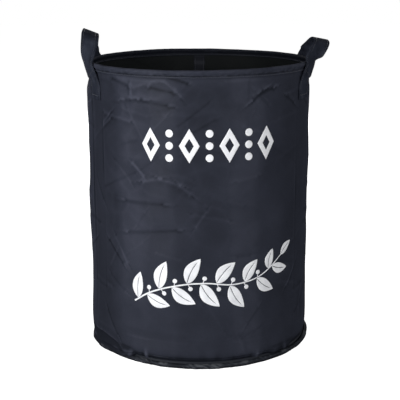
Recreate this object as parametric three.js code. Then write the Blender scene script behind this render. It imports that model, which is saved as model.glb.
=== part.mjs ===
// A round collapsible laundry hamper. A tube of coated canvas hangs from a sprung wire hoop in the
// rim, a second hoop in the piping keeps the base round, and two strap handles are sewn outside.
// Millimetres, +Z up. The origin is the centre of the base, on the floor. The front faces -Y and
// the handles stand at +X and -X.
import * as THREE from "three";

// Canvas body
const wallRadius = 198; // outside of the canvas tube
const bodyHeight = 518; // floor to the top of the rim
const canvasThickness = 0.8;
const seamGap = 0.3; // air left between two pieces that are sewn or lie together
const sleeveGap = 0.5; // air round the crimped sleeve of a hoop

// Wire hoops
const wireRadius = 1.75;
const sleeveThickness = 0.5; // wall of the crimped sleeve over a hoop's two ends
const sleeveLength = 34;
const buttGap = 0.6; // air between the two ends of a hoop, inside the sleeve

// Rim binding
const bindingHeight = 13; // top of the rim to the lower edge of the binding

// Base
const pipingFlangeHeight = 11; // the sewn edge of the piping that stands inside the wall
const pipingFootFlat = 0.3; // how far the piping is pressed flat by the floor
const baseTapeWidth = 10; // the part of the binding tape that lies on the base
const sideTapeWidth = 22;

// Handles. Each is one strap of doubled canvas, sewn flat at its feet and folded at the grip.
const footWidth = 46;
const footThickness = 2;
const footSpacing = 160; // between the middles of the two sewn feet of one handle
const footLength = 62; // how far the strap runs down below the top of the rim
const footSewnHeight = 33; // above this the foot narrows and leans towards its neighbour
const neckWidth = 32; // at the bending line
const neckSpacing = 130;
const gripWidth = 27;
const gripThickness = 3.6;
const bendRise = 5; // height of the bending line above the rim
const bendInset = 2; // how far in from the outside of the wall the bending line stands
const leftLoopHeight = 43; // bending line to the middle of the strap at the top of the loop
const rightLoopHeight = 38;
const loopRoundness = 2.5; // exponent of the loop's outline, 2 is an ellipse
const foldStartShare = 0.15; // the strap turns edge on between these shares of the loop's height
const foldEndShare = 0.7;
// The right loop has flopped outwards. The tilt raises the outer edge of the grip.
const leftLean = { loopHeight: leftLoopHeight, flopDegrees: 0, tiltDegrees: 17 };
const rightLean = { loopHeight: rightLoopHeight, flopDegrees: 35, tiltDegrees: 24 };
const bevelRun = 4.4; // the outer edge of a foot is cut back so far, to let the loop hang down

// Facets
const ringSegments = 72;
const wireSides = 8;
const rollSegments = 8;
const footColumns = 6;
const loopRows = 28;
const loopColumns = 4;

// Worked out from the sizes above
const wallInner = wallRadius - canvasThickness;
const wallMiddle = wallRadius - canvasThickness / 2;
const sleeveInner = wireRadius + seamGap;
const sleeveOuter = sleeveInner + sleeveThickness;
const rollInner = sleeveOuter + sleeveGap;
const rollOuter = rollInner + canvasThickness;
const rimHoopHeight = bodyHeight - rollOuter;
const wallTop = rimHoopHeight - sleeveOuter - seamGap;
const bindingBottom = bodyHeight - bindingHeight;
const lipOuterRadius = wallRadius + seamGap + canvasThickness;
const lipInnerRadius = wallInner - seamGap - canvasThickness;
const flangeOuter = wallInner - seamGap;
const flangeInner = flangeOuter - canvasThickness;
const pipingRollRadius = flangeInner + rollOuter;
const pipingRollHeight = rollOuter - pipingFootFlat;
const wallBottom = pipingRollHeight + rollOuter + seamGap;
const baseRadius = flangeInner - seamGap;
const tapeFloor = canvasThickness + seamGap;
const bendReach = wallRadius - bendInset;

// Materials
const canvas = new THREE.MeshStandardMaterial({ color: 0x2b2d36, roughness: 0.55, metalness: 0 });
const lining = new THREE.MeshStandardMaterial({ color: 0x1c1e24, roughness: 0.7, metalness: 0 });
const strap = new THREE.MeshStandardMaterial({ color: 0x272932, roughness: 0.65, metalness: 0 });
const springSteel = new THREE.MeshStandardMaterial({ color: 0x9a9da3, roughness: 0.35, metalness: 1 });
const crimpedSteel = new THREE.MeshStandardMaterial({ color: 0x7d8187, roughness: 0.45, metalness: 1 });

const hamper = new THREE.Group();

function addPiece(name, geometry, material, group = hamper) {
  const piece = new THREE.Mesh(geometry, material);
  piece.name = name;
  group.add(piece);
  return piece;
}

// Points of an arc in the half plane of radius and height. Angles are in degrees.
function arcPoints(radius, height, arcRadius, fromDegrees, toDegrees, segments) {
  const points = [];
  for (let i = 0; i <= segments; i++) {
    const angle = THREE.MathUtils.degToRad(fromDegrees + ((toDegrees - fromDegrees) * i) / segments);
    const x = radius + arcRadius * Math.cos(angle);
    const y = height + arcRadius * Math.sin(angle);
    points.push(new THREE.Vector2(x, y));
  }
  return points;
}

// A full turn about the hamper's axis. The outline is a closed list of radius and height.
function turnedRing(outline) {
  const closed = [...outline, outline[0].clone()];
  return new THREE.LatheGeometry(closed, ringSegments).rotateX(Math.PI / 2);
}

// A closed slab between two grids of points that face each other.
function slabBetween(inner, outer) {
  const rows = inner.length;
  const columns = inner[0].length;
  const positions = [];
  const put = (...corners) => corners.forEach((p) => positions.push(p.x, p.y, p.z));
  const putQuad = (a, b, c, d) => {
    put(a, b, c);
    put(a, c, d);
  };
  for (let i = 0; i + 1 < rows; i++) {
    for (let j = 0; j + 1 < columns; j++) {
      putQuad(outer[i][j], outer[i][j + 1], outer[i + 1][j + 1], outer[i + 1][j]);
      putQuad(inner[i][j], inner[i + 1][j], inner[i + 1][j + 1], inner[i][j + 1]);
    }
    const last = columns - 1;
    putQuad(inner[i][0], outer[i][0], outer[i + 1][0], inner[i + 1][0]);
    putQuad(outer[i][last], inner[i][last], inner[i + 1][last], outer[i + 1][last]);
  }
  for (let j = 0; j + 1 < columns; j++) {
    const last = rows - 1;
    putQuad(outer[0][j], inner[0][j], inner[0][j + 1], outer[0][j + 1]);
    putQuad(inner[last][j], outer[last][j], outer[last][j + 1], inner[last][j + 1]);
  }
  const geometry = new THREE.BufferGeometry();
  geometry.setAttribute("position", new THREE.Float32BufferAttribute(positions, 3));
  return geometry;
}

// A level arc about the hamper's axis, which a hoop or its sleeve follows.
class LevelArc extends THREE.Curve {
  constructor(radius, height, fromAngle, toAngle) {
    super();
    this.radius = radius;
    this.height = height;
    this.fromAngle = fromAngle;
    this.toAngle = toAngle;
  }

  getPoint(t, target = new THREE.Vector3()) {
    const angle = this.fromAngle + (this.toAngle - this.fromAngle) * t;
    const x = this.radius * Math.cos(angle);
    const y = this.radius * Math.sin(angle);
    return target.set(x, y, this.height);
  }
}

function roundShape(radius, boreRadius) {
  const shape = new THREE.Shape().absarc(0, 0, radius, 0, 2 * Math.PI);
  if (boreRadius) {
    shape.holes.push(new THREE.Path().absarc(0, 0, boreRadius, 0, 2 * Math.PI, true));
  }
  return shape;
}

// A wire hoop whose ends meet at the back of the hamper, and the sleeve crimped over them.
function addHoop(name, radius, height) {
  const halfGap = buttGap / 2 / radius;
  const halfSleeve = sleeveLength / 2 / radius;
  const joint = Math.PI / 2;
  const wirePath = new LevelArc(radius, height, joint + halfGap, joint + 2 * Math.PI - halfGap);
  const sleevePath = new LevelArc(radius, height, joint - halfSleeve, joint + halfSleeve);
  const wire = new THREE.ExtrudeGeometry(roundShape(wireRadius), {
    extrudePath: wirePath,
    steps: ringSegments,
    curveSegments: wireSides / 2,
  });
  const sleeve = new THREE.ExtrudeGeometry(roundShape(sleeveOuter, sleeveInner), {
    extrudePath: sleevePath,
    steps: rollSegments / 2,
    curveSegments: wireSides,
  });
  addPiece(name, wire, springSteel);
  addPiece(name + "_sleeve", sleeve, crimpedSteel);
}

// The tube of canvas.
function addWall() {
  const outline = [
    new THREE.Vector2(wallInner, wallBottom),
    new THREE.Vector2(wallRadius, wallBottom),
    new THREE.Vector2(wallRadius, wallTop),
    new THREE.Vector2(wallInner, wallTop),
  ];
  addPiece("wall_panel", turnedRing(outline), canvas);
}

// The binding folds over the hoop, with the edge of the wall between its two lips.
function addRimBinding() {
  const neckHalf = canvasThickness / 2 + seamGap;
  const lipHalf = neckHalf + canvasThickness;
  const outerTurn = THREE.MathUtils.radToDeg(Math.acos(lipHalf / rollOuter));
  const innerTurn = THREE.MathUtils.radToDeg(Math.acos(neckHalf / rollInner));
  const outline = [
    new THREE.Vector2(lipOuterRadius, bindingBottom),
    ...arcPoints(wallMiddle, rimHoopHeight, rollOuter, -outerTurn, 180 + outerTurn, rollSegments),
    new THREE.Vector2(lipInnerRadius, bindingBottom),
    new THREE.Vector2(wallMiddle - neckHalf, bindingBottom),
    ...arcPoints(wallMiddle, rimHoopHeight, rollInner, 180 + innerTurn, -innerTurn, rollSegments),
    new THREE.Vector2(wallMiddle + neckHalf, bindingBottom),
  ];
  addPiece("rim_binding", turnedRing(outline), canvas);
}

function addBasePanel() {
  const outline = [
    new THREE.Vector2(0, 0),
    new THREE.Vector2(baseRadius, 0),
    new THREE.Vector2(baseRadius, canvasThickness),
    new THREE.Vector2(0, canvasThickness),
  ];
  const geometry = new THREE.LatheGeometry(outline, ringSegments).rotateX(Math.PI / 2);
  addPiece("base_panel", geometry, canvas);
}

// The piping wraps the lower hoop. One edge is its flange, and the other stops short of it.
function addBasePiping() {
  const endReach = rollInner - seamGap;
  const endTurn = THREE.MathUtils.radToDeg(Math.acos(endReach / rollOuter));
  const aboveFloor = (point) => new THREE.Vector2(point.x, Math.max(point.y, 0));
  const turn = 360 - endTurn;
  const outside = arcPoints(pipingRollRadius, pipingRollHeight, rollOuter, -180, turn - 180, rollSegments);
  const inside = arcPoints(pipingRollRadius, pipingRollHeight, rollInner, turn - 180, -180, rollSegments);
  const outline = [
    new THREE.Vector2(flangeInner, pipingFlangeHeight),
    ...outside.map(aboveFloor),
    ...inside,
    new THREE.Vector2(flangeOuter, pipingFlangeHeight),
  ];
  addPiece("base_piping", turnedRing(outline), canvas);
}

// Binding tape over the raw edges inside the base seam.
function addBaseTape() {
  const outer = flangeInner - seamGap;
  const inner = outer - canvasThickness;
  const outline = [
    new THREE.Vector2(outer - baseTapeWidth, tapeFloor),
    new THREE.Vector2(outer, tapeFloor),
    new THREE.Vector2(outer, pipingFlangeHeight),
    new THREE.Vector2(inner, pipingFlangeHeight),
    new THREE.Vector2(inner, tapeFloor + canvasThickness),
    new THREE.Vector2(outer - baseTapeWidth, tapeFloor + canvasThickness),
  ];
  addPiece("base_seam_tape", turnedRing(outline), lining);
}

// Binding tape inside the upright seam at the back of the wall.
function addSideTape() {
  const halfAngle = sideTapeWidth / 2 / wallInner;
  const bottom = pipingFlangeHeight + seamGap;
  const top = bindingBottom - seamGap;
  const outerRadius = wallInner - seamGap;
  const innerRadius = outerRadius - canvasThickness;
  const row = (radius, height) => {
    const points = [];
    for (let j = 0; j <= footColumns; j++) {
      const angle = Math.PI / 2 + halfAngle * ((2 * j) / footColumns - 1);
      points.push(new THREE.Vector3(radius * Math.cos(angle), radius * Math.sin(angle), height));
    }
    return points;
  };
  const inner = [row(innerRadius, bottom), row(innerRadius, top)];
  const outer = [row(outerRadius, bottom), row(outerRadius, top)];
  addPiece("side_seam_tape", slabBetween(inner, outer), lining);
}

// Each handle is drawn on +X, with x outwards and y along the rim, and turned to its place.
const bendHeight = bodyHeight + bendRise;
const rimOuterRadius = wallMiddle + rollOuter;

// One sewn foot: flat on the wall, out over the rim, then straight along the bending line.
function footGeometry(side) {
  const wallSeat = wallRadius + seamGap;
  const lipSeat = lipOuterRadius + seamGap;
  const rollSeat = rimOuterRadius + seamGap;
  const rollMeets = rimHoopHeight - rollOuter;
  const bottom = bodyHeight - footLength;
  const sewnTop = bottom + footSewnHeight;
  const top = bendHeight - footThickness / 2 - seamGap;
  const levels = [
    [bottom, wallSeat, 0],
    [sewnTop, wallSeat, 0],
    [(sewnTop + bindingBottom) / 2, wallSeat, 0],
    [bindingBottom - seamGap, lipSeat, 0],
    [rollMeets, rollSeat, 0],
    [rimHoopHeight, rollSeat, 0.1],
    [bodyHeight - seamGap, rollSeat, 0.6],
    [top, rollSeat, 1],
  ];
  const facePoint = (height, seat, straight, across, depth) => {
    const lean = THREE.MathUtils.smoothstep(height, sewnTop, top);
    const cutBack = depth > 0 ? bevelRun * lean : 0;
    const width = THREE.MathUtils.lerp(footWidth, neckWidth, lean);
    const spacing = THREE.MathUtils.lerp(footSpacing, neckSpacing, lean);
    const along = (side * spacing + across * width) / 2;
    const angle = Math.asin((side * spacing) / 2 / wallRadius) + (across * width) / 2 / wallRadius;
    const round = new THREE.Vector2(Math.cos(angle), Math.sin(angle)).multiplyScalar(seat + depth);
    const flat = new THREE.Vector2(bendReach - footThickness / 2 + depth, along);
    const point = round.lerp(flat, straight);
    return new THREE.Vector3(point.x, point.y, height - cutBack);
  };
  const gridAt = (depth) =>
    levels.map(([height, seat, straight]) => {
      const points = [];
      for (let j = 0; j <= footColumns; j++) {
        const across = (2 * j) / footColumns - 1;
        points.push(facePoint(height, seat, straight, across, depth));
      }
      return points;
    });
  return slabBetween(gridAt(0), gridAt(footThickness));
}

// The middle line of the loop, from one bending line to the other. The share runs from 0 to 1.
function loopPoint(share, loopHeight) {
  const turn = Math.PI * share;
  const power = 2 / loopRoundness;
  const along = -Math.sign(Math.cos(turn)) * Math.abs(Math.cos(turn)) ** power;
  const rise = Math.abs(Math.sin(turn)) ** power;
  return new THREE.Vector3(0, (neckSpacing / 2) * along, loopHeight * rise);
}

// The strap stands flat to the wall at the bending line and turns on its way up, so that its
// face looks up at the top of the loop. The point is measured from the middle of that line.
function loopGeometry({ loopHeight, tiltDegrees }) {
  const middleAt = (share) => loopPoint(share, loopHeight);
  const inner = [];
  const outer = [];
  const pushRow = (centre, across, normal, width, depth) => {
    const rowInner = [];
    const rowOuter = [];
    for (let j = 0; j <= loopColumns; j++) {
      const side = ((2 * j) / loopColumns - 1) * (width / 2);
      const middle = centre.clone().addScaledVector(across, side);
      rowInner.push(middle.clone().addScaledVector(normal, -depth));
      rowOuter.push(middle.clone().addScaledVector(normal, depth));
    }
    inner.push(rowInner);
    outer.push(rowOuter);
  };
  // Each end is rounded about the bending line.
  const half = footThickness / 2;
  const outwards = new THREE.Vector3(1, 0, 0);
  const roundTurns = [75, 50, 25, 0];
  const endRows = (share, turns) => {
    const centre = middleAt(share);
    const across = new THREE.Vector3(0, share === 0 ? 1 : -1, 0);
    for (const turn of turns) {
      const angle = THREE.MathUtils.degToRad(turn);
      const lowered = centre.clone().setZ(centre.z - half * Math.sin(angle));
      pushRow(lowered, across, outwards, neckWidth, half * Math.cos(angle));
    }
  };
  endRows(0, roundTurns);
  for (let i = 1; i < loopRows; i++) {
    // The rows stand closer where the strap turns.
    const share = i / loopRows - Math.sin((2 * Math.PI * i) / loopRows) / (4 * Math.PI);
    const centre = middleAt(share);
    const step = share < 0.5 ? share / 4 : (1 - share) / 4;
    const along = middleAt(share + step).sub(middleAt(share - step)).normalize();
    const inPlane = new THREE.Vector3(0, along.z, -along.y);
    const rise = centre.z / loopHeight;
    const folded = THREE.MathUtils.smoothstep(rise, foldStartShare, foldEndShare);
    const turn = (Math.PI / 2) * folded + THREE.MathUtils.degToRad(tiltDegrees) * rise;
    const across = inPlane.multiplyScalar(Math.cos(turn)).addScaledVector(outwards, Math.sin(turn));
    const normal = new THREE.Vector3().crossVectors(across, along);
    const width = THREE.MathUtils.lerp(neckWidth, gripWidth, folded);
    const depth = THREE.MathUtils.lerp(footThickness, gripThickness, folded) / 2;
    pushRow(centre, across, normal, width, depth);
  }
  endRows(1, [...roundTurns].reverse());
  return slabBetween(inner, outer);
}

function addHandle(name, turn, lean, footNames) {
  const handle = new THREE.Group();
  handle.rotation.z = turn;
  hamper.add(handle);
  addPiece(name + "_" + footNames[0] + "_foot", footGeometry(-1), strap, handle);
  addPiece(name + "_" + footNames[1] + "_foot", footGeometry(1), strap, handle);
  const loop = new THREE.Group();
  loop.position.set(bendReach, 0, bendHeight);
  loop.rotation.y = THREE.MathUtils.degToRad(lean.flopDegrees);
  handle.add(loop);
  addPiece(name + "_loop", loopGeometry(lean), strap, loop);
}

addWall();
addSideTape();
addRimBinding();
addHoop("rim_hoop", wallMiddle, rimHoopHeight);
addBasePanel();
addBasePiping();
addBaseTape();
addHoop("base_hoop", pipingRollRadius, pipingRollHeight);
addHandle("right_handle", 0, rightLean, ["front", "rear"]);
addHandle("left_handle", Math.PI, leftLean, ["rear", "front"]);

export default hamper;
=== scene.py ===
# A round canvas laundry hamper, open and empty, with a strap handle on each side.
# Metres, +Z up. The front faces -Y and the handles stand at +X and -X.
# Sizes in the settings are millimetres, and turns round the hamper are degrees from its front.
import math

import bmesh
import bpy
import numpy as np
from mathutils import Euler, Matrix, Vector


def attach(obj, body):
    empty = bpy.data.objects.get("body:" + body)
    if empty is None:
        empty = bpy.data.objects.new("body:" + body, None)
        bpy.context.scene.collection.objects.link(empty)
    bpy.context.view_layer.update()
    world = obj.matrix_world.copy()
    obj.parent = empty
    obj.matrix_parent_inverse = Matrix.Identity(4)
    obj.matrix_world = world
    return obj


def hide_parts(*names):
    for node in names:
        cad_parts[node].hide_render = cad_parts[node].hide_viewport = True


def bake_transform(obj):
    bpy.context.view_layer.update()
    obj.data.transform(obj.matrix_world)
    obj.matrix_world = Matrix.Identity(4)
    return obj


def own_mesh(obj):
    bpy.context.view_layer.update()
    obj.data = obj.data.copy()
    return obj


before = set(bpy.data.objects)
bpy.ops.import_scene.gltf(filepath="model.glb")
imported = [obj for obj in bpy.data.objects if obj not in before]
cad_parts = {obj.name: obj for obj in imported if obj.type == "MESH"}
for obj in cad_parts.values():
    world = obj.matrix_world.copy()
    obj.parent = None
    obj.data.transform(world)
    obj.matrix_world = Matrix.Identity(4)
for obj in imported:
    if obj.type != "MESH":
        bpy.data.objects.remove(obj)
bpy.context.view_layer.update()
mm = 0.001
print("solids loaded")


# Shader nodes

def feed(tree, value, socket):
    if isinstance(value, bpy.types.NodeSocket):
        tree.links.new(value, socket)
    else:
        socket.default_value = value


def joined(tree, kind, **inputs):
    # A node with its settings, values and links given by name.
    node = tree.nodes.new(kind)
    for name, value in inputs.items():
        if name in node.inputs:
            feed(tree, value, node.inputs[name])
        else:
            setattr(node, name, value)
    return node


def mathNode(tree, operation, first, second):
    node = joined(tree, "ShaderNodeMath", operation=operation)
    feed(tree, first, node.inputs[0])
    feed(tree, second, node.inputs[1])
    return node.outputs[0]


def colourMix(tree, share, low, high):
    node = joined(tree, "ShaderNodeMix", data_type="RGBA")
    for at, value in ((0, share), (6, low), (7, high)):
        feed(tree, (*value, 1) if isinstance(value, tuple) else value, node.inputs[at])
    return node.outputs[2]


def rangeNode(tree, value, low, high, newLow=0.0, newHigh=1.0):
    limits = {"From Min": low, "From Max": high, "To Min": newLow, "To Max": newHigh}
    return joined(tree, "ShaderNodeMapRange", Value=value, **limits).outputs["Result"]


# Camera and light

camera = {
    "place": (0, -1.8066, 0.6963),
    "pitch": 13.77,  # degrees down
    "roll": -0.24,
    "lens": 89.2,
    "sensor": 36,
}

studio = {
    "world": 0.091,
    "lamps": [
        # name, turn round the hamper, distance, height, width, tall, watts
        ("windowLamp", -39, 1.2, 0.5, 0.5, 0.9, 10.9),
        ("frontLamp", 27, 2.6, 0.95, 1.4, 1.4, 22),
        ("topLamp", 150, 1.4, 2.4, 1.6, 1.6, 2.9),
        ("backLamp", 180, 2.6, 1.1, 1.6, 1.4, 23),
        ("rightLamp", 108, 2.7, 1.1, 1.4, 1.4, 9.7),
        ("leftLamp", -140, 2.7, 1.1, 1.4, 1.4, 6.9),
    ],
    "aimHeight": 0.27,
    "floorRadius": 9,
    "floorColour": 0.8,
    "floorGlow": 0.93,
}


def buildCamera():
    data = bpy.data.cameras.new("camera")
    data.lens = camera["lens"]
    data.sensor_width = camera["sensor"]
    seen = bpy.data.objects.new("camera", data)
    tilt = Euler((math.radians(90 - camera["pitch"]), 0, 0)).to_matrix()
    roll = Matrix.Rotation(math.radians(camera["roll"]), 3, "Z")
    seen.matrix_world = Matrix.Translation(camera["place"]) @ (tilt @ roll).to_4x4()
    bpy.context.collection.objects.link(seen)
    bpy.context.scene.camera = seen


def hangLamps():
    for name, turn, distance, height, width, tall, watts in studio["lamps"]:
        lamp = bpy.data.lights.new(name, "AREA")
        lamp.shape = "RECTANGLE"
        lamp.size, lamp.size_y, lamp.energy = width, tall, watts
        hung = bpy.data.objects.new(name, lamp)
        angle = math.radians(turn)
        hung.location = (distance * math.sin(angle), -distance * math.cos(angle), height)
        aim = Vector((0, 0, studio["aimHeight"])) - hung.location
        hung.rotation_euler = aim.to_track_quat("-Z", "Y").to_euler()
        bpy.context.collection.objects.link(hung)


def buildBackdrop():
    # It is white to the eye and in reflections, and lights the hamper only softly.
    world = bpy.data.worlds.new("studioWorld")
    bpy.context.scene.world = world
    world.use_nodes = True
    tree = world.node_tree
    tree.nodes.clear()
    ray = tree.nodes.new("ShaderNodeLightPath").outputs
    seen = mathNode(tree, "MAXIMUM", ray["Is Camera Ray"], ray["Is Glossy Ray"])
    seen = mathNode(tree, "MAXIMUM", seen, ray["Is Transmission Ray"])
    soft = joined(tree, "ShaderNodeBackground", Color=(1, 1, 1, 1), Strength=studio["world"])
    white = joined(tree, "ShaderNodeBackground", Color=(1, 1, 1, 1), Strength=1)
    mix = joined(tree, "ShaderNodeMixShader", Fac=seen)
    tree.links.new(soft.outputs[0], mix.inputs[1])
    tree.links.new(white.outputs[0], mix.inputs[2])
    joined(tree, "ShaderNodeOutputWorld", Surface=mix.outputs[0])


def buildFloor():
    # Just below the hamper, so that the two don't share a face.
    bpy.ops.mesh.primitive_circle_add(
        vertices=96, radius=studio["floorRadius"], fill_type="NGON", location=(0, 0, -0.0004)
    )
    floor = bpy.context.object
    floor.name = "studioFloor"
    paint = bpy.data.materials.new("studioFloor")
    paint.use_nodes = True
    tree = paint.node_tree
    tree.nodes.clear()
    ray = tree.nodes.new("ShaderNodeLightPath").outputs
    level = mathNode(tree, "MULTIPLY", ray["Is Camera Ray"], studio["floorGlow"])
    glow = joined(tree, "ShaderNodeEmission", Strength=level)
    matt = joined(tree, "ShaderNodeBsdfDiffuse", Color=(*[studio["floorColour"]] * 3, 1))
    both = tree.nodes.new("ShaderNodeAddShader")
    tree.links.new(glow.outputs[0], both.inputs[0])
    tree.links.new(matt.outputs[0], both.inputs[1])
    joined(tree, "ShaderNodeOutputMaterial", Surface=both.outputs[0])
    floor.data.materials.append(paint)


bpy.context.scene.view_settings.view_transform = "Standard"
buildCamera()
hangLamps()
buildBackdrop()
buildFloor()
print("camera and studio ready")


# Finishes

cloths = {
    "canvas": {
        "colour": (0.0301, 0.0334, 0.0478),
        "wornAndLit": (0.0869, 0.0925, 0.1258),  # on its ridges: wear and painted highlight
        "darkMottleAndShade": (0.0089, 0.0104, 0.0148),  # in its mottle, and as painted shade in its creases
        "roughness": 0.56,
        "threads": 0.85,  # from thread to thread
        "threadDepth": 0.10,
        "wrinkleDepth": 0.5,
        "shine": 0.02,
    },
    "welt": {
        "colour": (0.0222, 0.0250, 0.0324),
        "wornAndLit": (0.1443, 0.1517, 0.1665),
        "darkMottleAndShade": (0.0074, 0.0085, 0.0115),
        "roughness": 0.5,
        "threads": 0.85,
        "threadDepth": 0.10,
        "wrinkleDepth": 0.4,
        "shine": 0.03,
    },
    # Darker than the canvas: partly its coating, partly painted shade of the inside.
    "lining": {
        "colour": (0.0139, 0.0157, 0.0166),
        "wornAndLit": (0.0296, 0.0333, 0.0352),
        "darkMottleAndShade": (0.0074, 0.0083, 0.0093),
        "roughness": 0.5,
        "threads": 0.85,
        "threadDepth": 0.05,
        "wrinkleDepth": 0.6,
        "shine": 0.02,
    },
    "strap": {
        "colour": (0.0250, 0.0287, 0.0416),
        "wornAndLit": (0.0740, 0.0814, 0.1073),
        "darkMottleAndShade": (0.0093, 0.0107, 0.0157),
        "roughness": 0.62,
        "threads": 1.0,
        "threadDepth": 0.14,
        "wrinkleDepth": 0.25,
        "shine": 0.01,
    },
    "tape": {
        "colour": (0.0259, 0.0278, 0.0352),
        "wornAndLit": (0.0629, 0.0666, 0.0795),
        "darkMottleAndShade": (0.0148, 0.0157, 0.0204),
        "roughness": 0.75,
        "threads": 0.6,
        "threadDepth": 0.08,
        "wrinkleDepth": 0.2,
        "shine": 0.0,
    },
}

trims = {
    "inkThin": (0.76, 0.77, 0.805),
    "inkFull": (0.865, 0.875, 0.905),
    "thread": (0.039, 0.043, 0.057),
    "wire": (0.55, 0.56, 0.58),
    "wireRoughness": 0.32,
    "sleeve": (0.42, 0.43, 0.45),
    "sleeveRoughness": 0.45,
}


def newFinish(name):
    material = bpy.data.materials.new(name)
    material.use_nodes = True
    tree = material.node_tree
    return material, tree, tree.nodes["Principled BSDF"], tree.nodes.new("ShaderNodeTexCoord").outputs


def noise(tree, place, scale, detail, **more):
    where = place["Object"]
    grain = joined(tree, "ShaderNodeTexNoise", Vector=where, Scale=scale, Detail=detail, **more)
    return grain.outputs["Fac"]


def weaveOf(tree, place, pitch):
    # Threads both ways, laid out on the cloth's own flat sizes.
    laid = {"Vector": place["UV"], "Scale": 2 * math.pi / 20 / (pitch * mm), "Distortion": 0.0}
    warp, weft = [joined(tree, "ShaderNodeTexWave", bands_direction=way, **laid) for way in "XY"]
    return mathNode(tree, "MULTIPLY", warp.outputs["Fac"], weft.outputs["Fac"])


def raised(tree, height, strength, distance, **under):
    bump = joined(tree, "ShaderNodeBump", Strength=strength, Distance=distance, Height=height, **under)
    return bump.outputs["Normal"]


def clothFinish(name, cloth):
    # Woven cloth: threads both ways, mottled dye, ridges painted lighter as wear and painted highlight,
    # and creases painted darker as painted shade.
    material, tree, shader, place = newFinish(name)
    weave = weaveOf(tree, place, cloth["threads"])
    slub = noise(tree, place, 900.0, 2.0)
    mottle = noise(tree, place, 16.0, 4.0)
    wrinkle = noise(tree, place, 95.0, 3.0, Roughness=0.55, Distortion=0.6)
    # The attribute paints highlight and shade, with some wear: above 0 lighter, below 0 darker.
    wearAndPaintedLight = joined(tree, "ShaderNodeAttribute", attribute_name="wearAndPaintedLight").outputs["Fac"]
    ridgeLightShare = mathNode(tree, "MULTIPLY", rangeNode(tree, wearAndPaintedLight, 0.05, 1.0), 0.4)
    creaseShadeShare = mathNode(tree, "MULTIPLY", rangeNode(tree, wearAndPaintedLight, -0.05, -1.0), 0.8)
    dyed = colourMix(tree, rangeNode(tree, mottle, 0.3, 0.7), cloth["darkMottleAndShade"], cloth["colour"])
    dyed = colourMix(tree, 0.75, dyed, cloth["colour"])
    dyed = colourMix(tree, ridgeLightShare, dyed, cloth["wornAndLit"])
    dyed = colourMix(tree, creaseShadeShare, dyed, cloth["darkMottleAndShade"])
    threads = rangeNode(tree, weave, 0.0, 1.0, 0.88, 1.1)
    flecks = rangeNode(tree, slub, 0.3, 0.7, 0.93, 1.07)
    shade = mathNode(tree, "MULTIPLY", threads, flecks)
    tone = joined(tree, "ShaderNodeVectorMath", operation="SCALE", Scale=shade)
    tree.links.new(dyed, tone.inputs[0])
    tree.links.new(tone.outputs[0], shader.inputs["Base Color"])
    gloss = rangeNode(tree, mottle, 0.25, 0.75, cloth["roughness"] - 0.05, cloth["roughness"] + 0.07)
    tree.links.new(gloss, shader.inputs["Roughness"])
    shader.inputs["Specular IOR Level"].default_value = 0.0
    shader.inputs["Coat Weight"].default_value = cloth["shine"]  # its thin proofing
    shader.inputs["Coat Roughness"].default_value = 0.45
    shader.inputs["Coat IOR"].default_value = 2.4
    creased = raised(tree, wrinkle, cloth["wrinkleDepth"], 0.0008)
    woven = raised(tree, weave, cloth["threadDepth"], 0.0005, Normal=creased)
    tree.links.new(woven, shader.inputs["Normal"])
    return material


def inkFinish(name):
    # White screen ink: the cloth's threads show through, and it is thinner in places.
    material, tree, shader, place = newFinish(name)
    weave = weaveOf(tree, place, cloths["canvas"]["threads"])
    cover = rangeNode(tree, noise(tree, place, 70.0, 5.0), 0.28, 0.62)
    dyed = colourMix(tree, cover, trims["inkThin"], trims["inkFull"])
    tree.links.new(dyed, shader.inputs["Base Color"])
    tree.links.new(rangeNode(tree, cover, 0.0, 1.0, 0.62, 0.5), shader.inputs["Roughness"])
    tree.links.new(raised(tree, weave, 0.12, 0.0005), shader.inputs["Normal"])
    return material


def threadFinish(name, colour):
    # Sewing thread: twisted plies along its length.
    material, tree, shader, place = newFinish(name)
    plies = noise(tree, place, 2600.0, 1.0)
    dark = tuple(0.6 * c for c in colour)
    tree.links.new(colourMix(tree, plies, dark, colour), shader.inputs["Base Color"])
    shader.inputs["Roughness"].default_value = 0.5
    tree.links.new(raised(tree, plies, 0.3, 0.0001), shader.inputs["Normal"])
    return material


def steelFinish(name, colour, roughness):
    # Drawn or plated steel: fine scratches and a little dulling.
    material, tree, shader, place = newFinish(name)
    shader.inputs["Metallic"].default_value = 1
    scratches = noise(tree, place, 1400.0, 2.0)
    dull = noise(tree, place, 60.0, 3.0)
    dark = tuple(0.75 * c for c in colour)
    tree.links.new(colourMix(tree, dull, dark, colour), shader.inputs["Base Color"])
    gloss = rangeNode(tree, dull, 0.3, 0.7, roughness, roughness + 0.15)
    tree.links.new(gloss, shader.inputs["Roughness"])
    tree.links.new(raised(tree, scratches, 0.15, 0.0001), shader.inputs["Normal"])
    return material


canvasCloth = clothFinish("charcoalCanvas", cloths["canvas"])
weltCloth = clothFinish("weltCanvas", cloths["welt"])
liningCloth = clothFinish("coatedLining", cloths["lining"])
strapCloth = clothFinish("strapCanvas", cloths["strap"])
tapeCloth = clothFinish("bindingTape", cloths["tape"])
whiteInk = inkFinish("whiteInk")
darkThread = threadFinish("charcoalThread", trims["thread"])
springWire = steelFinish("springWire", trims["wire"], trims["wireRoughness"])
platedSleeve = steelFinish("platedSleeve", trims["sleeve"], trims["sleeveRoughness"])
print("finishes mixed")


# Mesh helpers

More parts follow.
